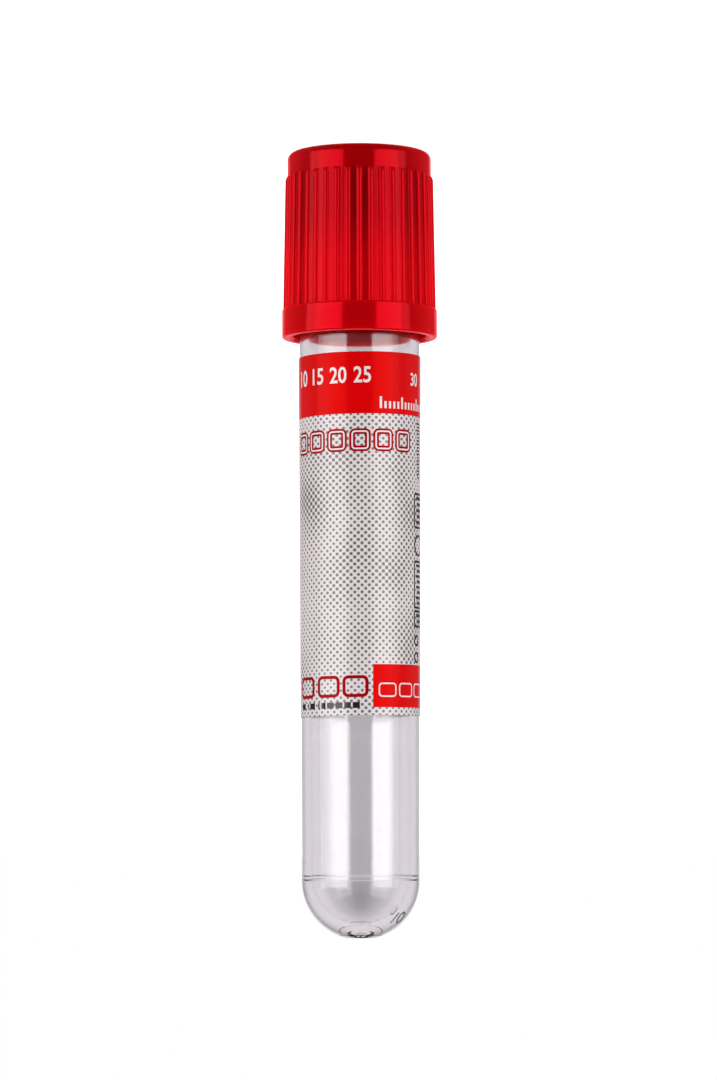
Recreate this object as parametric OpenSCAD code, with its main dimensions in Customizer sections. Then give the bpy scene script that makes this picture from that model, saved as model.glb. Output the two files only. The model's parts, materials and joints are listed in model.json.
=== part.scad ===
// Blood collection tube: a clear tube with a domed end, its film label, and a
// push-on closure made of a ribbed cap with a rubber stopper inside.
// It stands on its cap. z = 0 is the flat closed end of the cap, and +Z runs
// along the tube's axis to the domed end. Millimetres.

/* [Tube] */
// Length of the tube from its rim to the end of its dome
tube_length = 75; // [62:1:120]
// Outside diameter at the rim
rim_d = 13; // [12:0.1:16]
// Outside diameter where the dome begins
end_d = 12.48; // [11.6:0.02:13]
// Thickness of the tube's wall
tube_wall = 1; // [0.7:0.05:1.3]
// Rounding of the rim's two edges
rim_round = 0.3; // [0.1:0.05:0.34]
// How far the straight bore runs on past the plug
bore_margin = 1.2; // [0.5:0.1:5]
// Length of the straight band next to the dome
straight_band = 3.5; // [2:0.5:10]
// Thickness of the dome in its middle
dome_wall = 1.2; // [0.9:0.05:1.8]
// Diameter of the flat on the end of the dome
gate_flat_d = 3.1; // [2.4:0.1:5]
// Width of the ring that is left round the gate recess
gate_ring = 0.25; // [0.1:0.05:0.5]
// Depth of the gate recess
gate_depth = 0.25; // [0.15:0.05:0.5]
// Diameter of the gate mark in the recess
gate_mark_d = 1.2; // [0.6:0.1:1.6]
// Height of the gate mark
gate_mark_height = 0.12; // [0.05:0.01:0.15]
// Distance from the flat to the ring line round the mould's gate insert
insert_offset = 0.85; // [0.3:0.05:1.2]
// Distance from the start of the dome back to the mould's parting line
parting_offset = 0.5; // [0.2:0.1:1.5]
// Depth of the fine lines that the parts of the mould leave
line_depth = 0.03; // [0.02:0.01:0.08]

/* [Label] */
// Distance from the tube's rim to the label
label_from_rim = 13.05; // [11:0.05:20]
// Length of the label along the tube
label_length = 38.5; // [20:0.5:40]
// Thickness of the printed film
label_thickness = 0.08; // [0.05:0.01:0.2]
// Angle that the label wraps round the tube
label_wrap = 325; // [180:1:350]
// Angle that the label sits off square
label_skew = 0.7; // [0:0.1:2]

/* [Stopper] */
// Height of the head, from the cap's closed end to the tube's rim
head_height = 7.8; // [6:0.1:10]
// How far the head reaches out past the tube's rim
head_overhang = 0.15; // [0:0.05:0.3]
// Rounding of the head's and plug's edges
rubber_round = 0.4; // [0.2:0.05:0.6]
// Length of the plug inside the tube
plug_length = 8.8; // [6:0.1:10]
// Number of sealing rings round the plug
ring_count = 2; // [1:1:3]
// Radius of a sealing ring's round section
ring_section = 0.5; // [0.4:0.05:0.7]
// How far the sealing rings stand out of the plug
ring_proud = 0.25; // [0.15:0.05:0.35]
// Diameter of the needle well in the head
well_d = 5.6; // [4.5:0.1:6.5]
// Depth of the needle well
well_depth = 3.2; // [2:0.1:4]
// Thickness of the rubber that the needle pierces
septum = 4.5; // [3:0.1:6]
// Diameter of the hollow in the plug
hollow_d = 6; // [4:0.1:7]
// Rounding of the bottoms of the well and the hollow
hollow_round = 1; // [0.5:0.1:1.5]

/* [Cap] */
// Length of the cap
cap_length = 20; // [18:0.5:30]
// Thickness of the closed end
top_plate = 1.3; // [0.8:0.1:2]
// Diameter of the needle opening in the closed end
port_d = 7; // [4.5:0.1:9]
// Bevel of the needle opening
port_bevel = 0.3; // [0.1:0.05:0.5]
// Rounding of the edge of the closed end
cap_round = 0.3; // [0.2:0.05:1.2]
// Length of the smooth band at the closed end
band_length = 2.5; // [1.5:0.1:4]
// Wall of the smooth band, outside the skirt's bore
band_wall = 0.47; // [0.4:0.01:1]
// Wall between the ribs beside the flange
skirt_wall = 0.72; // [0.6:0.01:1]
// Length of the flange round the open end
flange_length = 3.1; // [2:0.1:5]
// Wall of the flange
flange_wall = 1.07; // [0.9:0.01:1.5]
// Rounding of the flange's edges
flange_round = 0.2; // [0.1:0.05:0.4]
// Bevel inside the open end
lead_in = 0.3; // [0.1:0.05:0.4]

/* [Ribs] */
// Number of finger ribs
rib_count = 40; // [20:2:44]
// Radius of a rib's round back
rib_radius = 0.35; // [0.25:0.01:0.4]
// How far the ribs stand out
rib_proud = 0.235; // [0.15:0.005:0.25]
// Rounding of the ribs' ends beside the smooth band
rib_end_round = 0.5; // [0.3:0.05:0.8]

/* [Fits] */
// Gap round the tube's rim inside the skirt
skirt_gap = 0.75; // [0.5:0.05:1]
// Gap round the stopper's head inside its seat
head_gap = 0.05; // [0.02:0.01:0.1]
// Gap round the sealing rings inside the tube's bore
plug_gap = 0.05; // [0.02:0.01:0.1]
// Radius of the round section of the bead that holds the stopper
bead_section = 0.45; // [0.35:0.05:0.6]
// How far the bead stands into the seat
bead_proud = 0.25; // [0.15:0.05:0.3]
// Distance from the tube's rim to the bead
bead_offset = 1.2; // [0.8:0.1:2]
// Layer of glue under the label
glue_gap = 0.02; // [0.01:0.01:0.05]

/* [Hidden] */
$fn = 96;

// places along the axis
rim_z = top_plate + head_height;
end_z = rim_z + tube_length;
plug_z = rim_z + plug_length;
bore_end_z = plug_z + bore_margin;
bead_z = rim_z - bead_offset;
flange_z = cap_length - flange_length;

// radii of the tube
rim_r = rim_d / 2;
end_r = end_d / 2;
bore_r = rim_r - tube_wall;
core_r = end_r - tube_wall;
gate_flat_r = gate_flat_d / 2;
gate_recess_r = gate_flat_r - gate_ring;
insert_r = gate_flat_r + insert_offset;

// centres of the two round ends, and where the outside stops tapering
dome_z = end_z - sqrt(end_r * end_r - gate_flat_r * gate_flat_r);
core_z = end_z - dome_wall - core_r;
straight_z = dome_z - straight_band;

// radii of the stopper and of what holds it
head_r = rim_r + head_overhang;
seat_r = head_r + head_gap;
ring_r = bore_r - plug_gap;
plug_r = ring_r - ring_proud;
hollow_depth = head_height + plug_length - well_depth - septum;

// radii of the cap
skirt_r = rim_r + skirt_gap;
band_r = skirt_r + band_wall;
open_r = skirt_r + skirt_wall;
flange_r = skirt_r + flange_wall;
rib_tilt = atan((open_r - band_r) / (flange_z - band_length));

// how far a cut or a sunk end runs past the face it meets
over = 1;

// how far the rounding of the ribs' ends stays clear of the ribs' backs
slack = 0.03;

// Outline of the tube's side from its rim to its dome, grown by a layer
function side_points(layer) = [
    [rim_r + layer, rim_z],
    [end_r + layer, straight_z],
    [end_r + layer, dome_z]
];

// Keeps the half of a section that a revolve needs
module half_section() {
    intersection() {
        children();
        translate([0, -over]) square([2 * rim_r, end_z + 2 * over]);
    }
}

// Half section of a ring with its two outer edges rounded
module rounded_ring(inside, outside, low, high, round) {
    translate([inside, low]) square([outside - round - inside, high - low]);
    translate([inside, low + round]) square([outside - inside, high - low - 2 * round]);
    for (z = [low + round, high - round])
        translate([outside - round, z]) circle(round);
}

// ---- tube ----

// The outside, closed by its dome, as a solid section
module tube_outside() {
    half_section() {
        difference() {
            union() {
                polygon(concat([[0, rim_z]], side_points(0), [[0, dome_z]]));
                translate([0, dome_z]) circle(end_r);
            }
            translate([0, end_z]) square(end_r);
            gate_recess();
            mould_lines();
            rim_corner(rim_r, -1);
        }
    }
}

// The space inside as a section, straight where the plug seals
module tube_inside() {
    half_section() {
        polygon([
            [0, rim_z - over],
            [bore_r, rim_z - over],
            [bore_r, bore_end_z],
            [core_r, core_z],
            [0, core_z]
        ]);
        translate([0, core_z]) circle(core_r);
        rim_corner(bore_r, 1);
    }
}

// What the rounding takes off the rim at one of its edges
module rim_corner(r, side) {
    difference() {
        translate([min(r, r + side * rim_round), rim_z]) square(rim_round);
        translate([r + side * rim_round, rim_z + rim_round]) circle(rim_round);
    }
}

// Recess where the mould filled the tube, with the gate's mark in it
module gate_recess() {
    difference() {
        translate([0, end_z - gate_depth]) square([gate_recess_r, gate_depth + over]);
        translate([0, end_z - gate_depth]) square([gate_mark_d / 2, gate_mark_height]);
    }
}

// Fine lines of the mould: its parting line, the start of its domed end and its gate insert
module mould_lines() {
    insert_z = dome_z + sqrt(end_r * end_r - insert_r * insert_r);
    for (place = [[end_r, dome_z - parting_offset], [end_r, dome_z], [insert_r, insert_z]])
        translate(place) circle(line_depth);
}

module tube() {
    color("gainsboro", 0.4) rotate_extrude() difference() {
        tube_outside();
        tube_inside();
    }
}

// ---- label ----

// One layer of the tube's side, as a solid
module side_solid(layer) {
    rotate_extrude() polygon(concat(
        [[0, rim_z]], side_points(layer), [[0, dome_z]]
    ));
}

// What is left of the label's sleeve: between its two ends, without the slit
module label_blank() {
    middle_z = rim_z + label_from_rim + label_length / 2;
    slit = 360 - label_wrap;
    difference() {
        translate([0, 0, middle_z]) rotate([0, -label_skew, 0])
            cube([4 * rim_r, 4 * rim_r, label_length], center = true);
        translate([0, 0, rim_z]) rotate([0, 0, 90 - slit / 2])
            rotate_extrude(angle = slit) square([2 * rim_r, tube_length]);
    }
}

module label() {
    color("whitesmoke") intersection() {
        difference() {
            side_solid(glue_gap + label_thickness);
            side_solid(glue_gap);
        }
        label_blank();
    }
}

// ---- stopper ----

// Round section of the bead that locks the head in its seat, grown to cut its groove
module bead(grown) {
    translate([seat_r + bead_section - bead_proud, bead_z]) circle(bead_section + grown);
}

module stopper() {
    clear = 2 * hollow_round;
    color("dimgray") rotate_extrude() difference() {
        union() {
            rounded_ring(0, head_r, top_plate, rim_z, rubber_round);
            rounded_ring(0, plug_r, rim_z - over, plug_z, rubber_round);
            for (i = [1:ring_count])
                translate([ring_r - ring_section, rim_z + plug_length * i / (ring_count + 1)])
                    circle(ring_section);
        }
        bead(head_gap);
        rounded_ring(0, well_d / 2, top_plate - clear, top_plate + well_depth, hollow_round);
        rounded_ring(0, hollow_d / 2, plug_z - hollow_depth, plug_z + clear, hollow_round);
    }
}

// ---- cap ----

// Section of the cap without its bore and ribs
module cap_outside() {
    rounded_ring(0, band_r, 0, 2 * band_length, cap_round);
    polygon([[0, band_length], [band_r, band_length], [open_r, flange_z], [0, flange_z]]);
    rounded_ring(0, flange_r, flange_z, cap_length, flange_round);
}

// Section of the space inside: the stopper's seat with its bead, then the skirt's bore
module cap_inside() {
    step = skirt_r - seat_r;
    difference() {
        polygon([
            [0, top_plate],
            [seat_r, top_plate],
            [seat_r, rim_z],
            [skirt_r, rim_z + step],
            [skirt_r, cap_length - lead_in],
            [skirt_r + lead_in, cap_length],
            [skirt_r + lead_in, cap_length + over],
            [0, cap_length + over]
        ]);
        bead(0);
    }
}

// One finger rib: a rod that leans with the cap's side and runs into the flange
module rib() {
    rod = (flange_z - band_length) / cos(rib_tilt) + flange_length / 2;
    translate([band_r + rib_proud - rib_radius, 0, band_length])
        rotate([0, rib_tilt, 0]) cylinder(r = rib_radius, h = rod);
}

// Section of what rounds off the ribs' ends: all that lies outside of its circle
module rib_end() {
    reach = band_r + rib_proud + slack;
    difference() {
        translate([reach - rib_end_round, band_length - over])
            square([rib_end_round + over, rib_end_round + over]);
        translate([reach - rib_end_round, band_length + rib_end_round]) circle(rib_end_round);
    }
}

module needle_port() {
    port_r = port_d / 2;
    translate([0, 0, -over]) cylinder(r = port_r, h = top_plate + 2 * over);
    translate([0, 0, -over])
        cylinder(r1 = port_r + port_bevel + over, r2 = port_r, h = port_bevel + over);
}

module cap() {
    color("red") difference() {
        union() {
            rotate_extrude() cap_outside();
            difference() {
                for (i = [0:rib_count - 1])
                    rotate([0, 0, 360 * i / rib_count]) rib();
                rotate_extrude() rib_end();
            }
        }
        rotate_extrude() cap_inside();
        needle_port();
    }
}

tube();
label();
stopper();
cap();
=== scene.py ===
# %% [markdown]
# # A blood collection tube
#
# This lesson dresses the solid model of a small evacuated blood tube: a clear test tube, a printed
# film label round it, a rubber stopper, and the ribbed red cap that holds the stopper. The solid
# model is a fixed frame that the script only reads. Each size below is either measured on the
# frame or belongs to a detail that sits on a measured piece. The tube stands on its cap, with its
# round end up.

# %% Load the frame
import json
import math

import bmesh
import bpy
from mathutils import Matrix, Quaternion, Vector


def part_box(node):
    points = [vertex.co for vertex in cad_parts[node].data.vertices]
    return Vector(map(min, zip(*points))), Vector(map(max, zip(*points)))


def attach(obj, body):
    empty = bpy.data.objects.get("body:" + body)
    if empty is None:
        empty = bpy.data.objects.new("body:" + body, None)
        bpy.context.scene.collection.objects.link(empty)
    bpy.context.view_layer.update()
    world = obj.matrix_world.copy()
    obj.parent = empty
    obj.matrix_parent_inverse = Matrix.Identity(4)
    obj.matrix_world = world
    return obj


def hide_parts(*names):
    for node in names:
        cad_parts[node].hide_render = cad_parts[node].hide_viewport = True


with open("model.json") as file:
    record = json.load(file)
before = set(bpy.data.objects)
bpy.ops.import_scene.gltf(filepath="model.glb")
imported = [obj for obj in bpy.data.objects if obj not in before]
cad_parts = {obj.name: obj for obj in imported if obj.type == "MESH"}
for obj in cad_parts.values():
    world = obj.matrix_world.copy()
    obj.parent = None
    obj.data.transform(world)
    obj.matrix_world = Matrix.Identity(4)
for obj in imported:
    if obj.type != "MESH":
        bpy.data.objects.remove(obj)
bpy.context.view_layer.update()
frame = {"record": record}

# %% [markdown]
# The frame gives the driving sizes: where the tube, the cap, the stopper and the label begin and
# end, and the radii of the places where other things fit. Blender counts in metres, so MM turns
# the millimetres of a drawing into them.

# %% Measure the solid model
MM = 0.001
mounts = {mount["name"]: mount for mount in frame["record"]["mounts"]}


def mount_radius(name):
    return mounts[name]["dims"]["r_mm"] * MM


tube_low, tube_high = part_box("tube")
cap_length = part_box("cap")[1].z
stopper_low, stopper_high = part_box("stopper")
label_low, label_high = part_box("label")

rim_z, end_z = tube_low.z, tube_high.z
rim_r, end_r = tube_high.x, mount_radius("tube_end")
flange_r, port_r = mount_radius("cap_flange"), mount_radius("needle_port")
print(f"tube from {rim_z / MM:.2f} to {end_z / MM:.2f} mm, radius {rim_r / MM:.2f} to {end_r / MM:.2f} mm")
print(f"cap {cap_length / MM:.2f} mm long, radius {flange_r / MM:.2f} mm, needle port {port_r / MM:.2f} mm")
print(f"label from {label_low.z / MM:.2f} to {label_high.z / MM:.2f} mm")

# %% [markdown]
# ## The camera
#
# A camera close by would see both ends of the tube at a slant. This one stands almost half a metre
# away and a little above the middle, with a long lens, so that the sides look nearly parallel. It
# is held upside down: the tube stands on its cap, and the picture then shows it the usual way, cap
# at the top.

# %% Make the camera
view_distance = 451 * MM
view_rise = math.radians(4.4)
view_roll = math.radians(179.88)
view_centre = Vector((0.16 * MM, 0, 41.7 * MM))
view_lens, view_sensor = 140.5, 36
scene = bpy.context.scene

camera_data = bpy.data.cameras.new("camera")
camera_data.lens = view_lens
camera_data.sensor_width = view_sensor
camera = bpy.data.objects.new("camera", camera_data)
scene.collection.objects.link(camera)
scene.camera = camera

towards_camera = Vector((0, -math.cos(view_rise), math.sin(view_rise)))
camera.location = view_centre + view_distance * towards_camera
camera.rotation_mode = "QUATERNION"
roll = Quaternion((0, 0, 1), view_roll)
camera.rotation_quaternion = (-towards_camera).to_track_quat("-Z", "Y") @ roll
scene.view_settings.view_transform = "Standard"
print("camera at", [round(value / MM, 1) for value in camera.location], "mm")

# %% [markdown]
# ## The studio
#
# Shiny plastic shows what stands round it, so a studio is built for what it mirrors. Two tall soft
# boxes stand to the left and right in front of the tube and draw the bright stripes down its
# sides. Each has a dimmer strip along its outer edge, where a real box fades. A lamp is a flat
# light that faces the tube and fills the span between two directions. The lamps only show in
# gloss and through clear plastic, and the room, which comes next, lights the surfaces evenly.

# %% Strips of soft light
lamp_distance = 210 * MM
lamp_low, lamp_high = -75 * MM, 120 * MM
lamp_spans = (  # name, inner and outer direction in degrees from the front, brightness
    ("lamp_left", 25.5, 68, 3.3),
    ("lamp_left_edge", 68, 84, 2.0),
    ("lamp_right", -24.5, -64, 3.3),
    ("lamp_right_edge", -64, -78, 1.6),
)


def add_lamp(name, inner, outer, brightness):
    """A flat lamp gives off pi times its brightness for each square metre."""
    half_spread = math.radians(abs(outer - inner) / 2)
    direction = math.radians((inner + outer) / 2)
    data = bpy.data.lights.new(name, "AREA")
    data.shape = "RECTANGLE"
    data.size = 2 * lamp_distance * math.tan(half_spread)
    data.size_y = lamp_high - lamp_low
    data.energy = math.pi * brightness * data.size * data.size_y
    lamp = bpy.data.objects.new(name, data)
    scene.collection.objects.link(lamp)
    outwards = Vector((math.sin(direction), -math.cos(direction), 0))
    lamp.location = lamp_distance * outwards + Vector((0, 0, (lamp_low + lamp_high) / 2))
    lamp.rotation_mode = "QUATERNION"
    lamp.rotation_quaternion = outwards.to_track_quat("Z", "Y")
    lamp.visible_camera = False
    lamp.visible_diffuse = False
    return lamp


for span in lamp_spans:
    lamp = add_lamp(*span)
    stands_at = [round(value / MM) for value in lamp.location]
    print(lamp.name, "at", stands_at, "mm,", round(lamp.data.energy, 2), "W")

# %% [markdown]
# The room is the world, and it is four rooms in one. What lights a surface is a soft grey that is
# brightest at the back. What gloss mirrors is a dark room with a pale back wall, so that the lamps
# stand out in it. What shows through the clear plastic is paper, which is darker in the middle of
# the back and towards the front of the room. What the camera sees past the tube is plain white.
#
# The greys lie in rings round a point at the back. A dot product with the direction of that point
# gives a cosine, but a cosine hardly changes near the middle of the rings. So it is turned into
# an angle first, and a colour ramp then looks up the grey. Such sums are chains of math nodes,
# so small helpers build them.

# %% Math nodes
def chain(tree, kind, operation, first, second):
    """A node for sums. Its two operands are numbers, vectors or sockets."""
    node = tree.nodes.new(kind)
    node.operation = operation
    for socket, operand in zip(node.inputs, (first, second)):
        if isinstance(operand, bpy.types.NodeSocket):
            tree.links.new(operand, socket)
        else:
            socket.default_value = operand
    return node


def add_math(tree, operation, first, second):
    return chain(tree, "ShaderNodeMath", operation, first, second).outputs[0]


def add_vector_math(tree, operation, first, second, result="Vector"):
    return chain(tree, "ShaderNodeVectorMath", operation, first, second).outputs[result]


print("math nodes take numbers, vectors and sockets")

# %% Rings of grey
room_tint = (1.0, 0.955, 0.99)
light_greys = ((0, 2.0), (60, 1.6), (90, 1.1), (180, 0.95))  # degrees from the back, grey
mirror_greys = ((0, 0.8), (23, 0.7), (34, 0.05), (53, 0.1), (90, 0.1), (96, 0.03), (180, 0.03))
paper_greys = ((0, 0.34), (4, 0.54), (6.5, 0.6), (10, 0.72), (16, 0.8), (26, 0.85), (90, 0.6),
               (134, 0.4), (158, 0.3), (180, 0.3))
paper_rise, paper_squash = math.radians(4), 0.45


def rings_of_grey(tree, greys, rise=0, squash=1):
    """Rings round a point at the back that may stand higher. A squash below 1 draws the rings
    out upwards."""
    direction = tree.nodes.new("ShaderNodeTexCoord").outputs["Generated"]
    flat = add_vector_math(tree, "MULTIPLY", direction, (1, 1, squash))
    unit = add_vector_math(tree, "NORMALIZE", flat, (0, 0, 0))
    towards = (0, math.cos(rise), math.sin(rise))
    along = add_vector_math(tree, "DOT_PRODUCT", unit, towards, "Value")
    angle = add_math(tree, "ARCCOSINE", along, 0.0)
    share = add_math(tree, "DIVIDE", angle, math.pi)
    ramp = tree.nodes.new("ShaderNodeValToRGB")
    stops = ramp.color_ramp.elements
    stops.remove(stops[-1])
    for degrees, grey in greys:
        stop = stops.new(degrees / 180) if degrees else stops[0]
        stop.color = [grey * channel for channel in room_tint] + [1]
    tree.links.new(share, ramp.inputs["Fac"])
    return ramp.outputs["Color"]


print("greys:", len(light_greys), "light,", len(mirror_greys), "mirrored,", len(paper_greys), "seen through")

# %% [markdown]
# The Light Path node tells what a ray has just done. The four rooms are laid over each other, and
# each covers the ones below for its own rays. A ray that smooth plastic bends counts as glossy as
# well, so the layer for transmission has to lie over the one for gloss.

# %% The room
def build_world():
    world = bpy.data.worlds.new("studio")
    scene.world = world
    world.use_nodes = True
    tree = world.node_tree
    tree.nodes.clear()
    new, link = tree.nodes.new, tree.links.new
    rays = new("ShaderNodeLightPath")
    colour = rings_of_grey(tree, light_greys)
    layers = (("Is Glossy Ray", rings_of_grey(tree, mirror_greys)),
              ("Is Transmission Ray", rings_of_grey(tree, paper_greys, paper_rise, paper_squash)),
              ("Is Camera Ray", None))
    for kind, seen in layers:
        layer = new("ShaderNodeMix")
        layer.data_type = "RGBA"
        layer.inputs["B"].default_value = (1, 1, 1, 1)
        link(rays.outputs[kind], layer.inputs["Factor"])
        link(colour, layer.inputs["A"])
        if seen:
            link(seen, layer.inputs["B"])
        colour = layer.outputs["Result"]
    background = new("ShaderNodeBackground")
    link(colour, background.inputs["Color"])
    output = new("ShaderNodeOutputWorld")
    link(background.outputs[0], output.inputs[0])
    return world


print("world:", len(build_world().node_tree.nodes), "nodes")

# %% [markdown]
# The floor is white card, far larger than the view. The camera sees it a little brighter than its
# colour, so that it runs into the white room without an edge, while the soft shadow at the foot of
# the cap stays.

# %% White card
floor_colour = (0.8, 0.8, 0.8, 1)
floor_lift = 0.85


def floor_material():
    material = bpy.data.materials.new("white_card")
    material.use_nodes = True
    tree = material.node_tree
    tree.nodes.clear()
    new, link = tree.nodes.new, tree.links.new
    card = new("ShaderNodeBsdfDiffuse")
    card.inputs["Color"].default_value = floor_colour
    rays = new("ShaderNodeLightPath")
    lift = add_math(tree, "MULTIPLY", rays.outputs["Is Camera Ray"], floor_lift)
    glow = new("ShaderNodeEmission")
    link(lift, glow.inputs["Strength"])
    both = new("ShaderNodeAddShader")
    link(card.outputs[0], both.inputs[0])
    link(glow.outputs[0], both.inputs[1])
    output = new("ShaderNodeOutputMaterial")
    link(both.outputs[0], output.inputs["Surface"])
    return material


white_card = floor_material()
print("floor:", white_card.name)

# %% [markdown]
# The card is one flat face. It belongs to the stage and not to the object. It catches the shadow
# and throws soft light back up, but gloss and clear plastic don't see it, because the greys of the
# room already stand for what they show.

# %% The floor
floor_size = 80.0
floor_bm = bmesh.new()
bmesh.ops.create_grid(floor_bm, x_segments=1, y_segments=1, size=floor_size / 2)
floor_mesh = bpy.data.meshes.new("floor")
floor_bm.to_mesh(floor_mesh)
floor_bm.free()
floor_mesh.materials.append(white_card)
floor = bpy.data.objects.new("floor", floor_mesh)
scene.collection.objects.link(floor)
floor.visible_glossy = False
floor.visible_transmission = False
floor.visible_shadow = False
print("floor:", floor_size, "m wide")

# %% [markdown]
# ## Turned shapes
#
# The tube, the stopper and the cap's body are round, as if turned on a lathe: one half-section,
# spun round the axis. The half-section is drawn as a wire. A straight stretch is an edge to the
# next point, a round one is a vertex that is spun about a centre, and a rounded corner is a vertex
# bevel. Cylinders that are stacked and bevelled would leave edges inside the walls, which clear
# plastic shows.

# %% Draw a half-section
corner_segments = 5


def draw_section(bm, start, moves, closed):
    """Draws a wire in the plane of X and Z, where X is the radius.

    A move is (radius, z), (radius, z, rounding) or ("arc", radius, z, degrees, steps), whose
    point is the arc's centre. Positive degrees turn from the radius towards +Z."""
    first = last = bm.verts.new((start[0], 0, start[1]))
    corners = []
    for move in moves:
        if move[0] == "arc":
            radius, z, degrees, steps = move[1:]
            made = bmesh.ops.spin(bm, geom=[last], cent=(radius, 0, z), axis=(0, -1, 0),
                                  angle=math.radians(degrees), steps=steps)
            last = next(item for item in made["geom_last"] if isinstance(item, bmesh.types.BMVert))
        else:
            point = bm.verts.new((move[0], 0, move[1]))
            bm.edges.new((last, point))
            last = point
            if len(move) == 3:
                corners.append((point, move[2]))
    if closed:
        bm.edges.new((last, first))
    for corner, rounding in corners:
        bmesh.ops.bevel(bm, geom=[corner], affect="VERTICES", offset=rounding, offset_type="OFFSET",
                        segments=corner_segments, profile=0.5, material=-1)


print("half-sections are rounded with", corner_segments, "segments a corner")

# %% [markdown]
# A full spin ends where it began, so use_merge joins its two ends. Points on the axis have spun
# into piles, which are merged too, and only then do the normals get to point outwards.

# %% Spin and close
merge_distance = 0.0005 * MM


def spin_section(bm, steps):
    bmesh.ops.spin(bm, geom=bm.verts[:] + bm.edges[:], cent=(0, 0, 0), axis=(0, 0, 1),
                   angle=math.tau, steps=steps, use_merge=True)


def close_shell(bm):
    bmesh.ops.remove_doubles(bm, verts=bm.verts[:], dist=merge_distance)
    bmesh.ops.recalc_face_normals(bm, faces=bm.faces[:])


print("points closer than", merge_distance / MM, "mm are merged")

# %% [markdown]
# Each finished mesh becomes an object at the origin that rides on one body of the frame and stands
# for the plain solid. Smooth shading bends the light over the facets, so edges that are really
# sharp are marked. A sheet gets its border marked instead, which keeps the shading of its face flat
# across when it is given its thickness.

# %% Finish a piece
sharp_angle = math.radians(32)


def add_piece(bm, name, body, materials, stands_for=(), sheet=False):
    mesh = bpy.data.meshes.new(name)
    for edge in bm.edges:
        edge.smooth = not (edge.is_boundary if sheet else edge.calc_face_angle(0) > sharp_angle)
    bm.to_mesh(mesh)
    bm.free()
    for material in materials:
        mesh.materials.append(material)
    mesh.shade_smooth()
    piece = bpy.data.objects.new(name, mesh)
    scene.collection.objects.link(piece)
    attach(piece, body)
    if stands_for:
        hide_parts(*stands_for)
    print(f"{name}: {len(mesh.vertices)} vertices, {len(mesh.polygons)} faces, on {body}")
    return piece


print("edges stay sharp over", round(math.degrees(sharp_angle)), "degrees")

# %% [markdown]
# ## Materials
#
# Moulded plastic is never quite smooth. It keeps a fine grain from the steel mould, and faint
# streaks where it flowed. An image of such a skin could be laid on, but it would repeat and end
# somewhere. Noise never runs out: an even one makes the grain, and a stretched one makes the
# streaks. All the finishes share the two, so they are one node group, and each material sets how
# large and how deep they are.

# %% New materials and groups
def new_material(name):
    material = bpy.data.materials.new(name)
    material.use_nodes = True
    tree = material.node_tree
    return material, tree, tree.nodes["Principled BSDF"]


def new_group(name, inputs, outputs):
    """An empty node group with named inputs and outputs, given as (name, socket, value)."""
    group = bpy.data.node_groups.new(name, "ShaderNodeTree")
    for title, kind, value in inputs:
        socket = group.interface.new_socket(title, in_out="INPUT", socket_type=kind)
        if value is not None:
            socket.default_value = value
    for title, kind in outputs:
        group.interface.new_socket(title, in_out="OUTPUT", socket_type=kind)
    return group, group.nodes.new("NodeGroupInput"), group.nodes.new("NodeGroupOutput")


print("each material starts from one Principled BSDF")

# %% The shared mould grain
def build_mould_grain():
    group, given, result = new_group("mould_grain", [
        ("Vector", "NodeSocketVector", None),
        ("Grain Scale", "NodeSocketFloat", 4000.0),
        ("Streak Stretch", "NodeSocketVector", (300.0, 300.0, 2500.0)),
        ("Streak Share", "NodeSocketFloat", 0.5),
    ], [("Height", "NodeSocketFloat"), ("Streak", "NodeSocketFloat")])
    new, link = group.nodes.new, group.links.new
    grain = new("ShaderNodeTexNoise")
    grain.inputs["Detail"].default_value = 3
    link(given.outputs["Vector"], grain.inputs["Vector"])
    link(given.outputs["Grain Scale"], grain.inputs["Scale"])
    stretch = new("ShaderNodeVectorMath")
    stretch.operation = "MULTIPLY"
    link(given.outputs["Vector"], stretch.inputs[0])
    link(given.outputs["Streak Stretch"], stretch.inputs[1])
    streak = new("ShaderNodeTexNoise")
    streak.inputs["Scale"].default_value = 1
    streak.inputs["Detail"].default_value = 2
    link(stretch.outputs[0], streak.inputs["Vector"])
    both = new("ShaderNodeMix")
    link(given.outputs["Streak Share"], both.inputs["Factor"])
    link(grain.outputs["Fac"], both.inputs["A"])
    link(streak.outputs["Fac"], both.inputs["B"])
    link(both.outputs["Result"], result.inputs["Height"])
    link(streak.outputs["Fac"], result.inputs["Streak"])
    return group


mould_grain = build_mould_grain()
print("group:", mould_grain.name, "with", len(mould_grain.nodes), "nodes")

# %% [markdown]
# Real dents this fine would need millions of faces, so the group's height only bends the light,
# through a Bump node. Its depth is a few thousandths of a millimetre, or a hundredth on rubber.

# %% Use the grain in a material
def add_grain(tree, shader, scale, stretch, share, depth):
    """Places the group in a material, bends the shader's normal with it and returns it."""
    where = tree.nodes.new("ShaderNodeTexCoord")
    grain = tree.nodes.new("ShaderNodeGroup")
    grain.node_tree = mould_grain
    grain.inputs["Grain Scale"].default_value = scale
    grain.inputs["Streak Stretch"].default_value = stretch
    grain.inputs["Streak Share"].default_value = share
    tree.links.new(where.outputs["Object"], grain.inputs["Vector"])
    bump = tree.nodes.new("ShaderNodeBump")
    bump.inputs["Strength"].default_value = 1
    bump.inputs["Distance"].default_value = depth
    tree.links.new(grain.outputs["Height"], bump.inputs["Height"])
    tree.links.new(bump.outputs["Normal"], shader.inputs["Normal"])
    return grain


print("grain is placed on the coordinates of each object")

# %% [markdown]
# The streaks also vary a roughness or a colour a little. A noise mostly stays between 0.3 and
# 0.7, so that range is stretched to the two values it should run between.

# %% Vary a value and blend colours
noise_low, noise_high = 0.3, 0.7


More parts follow.
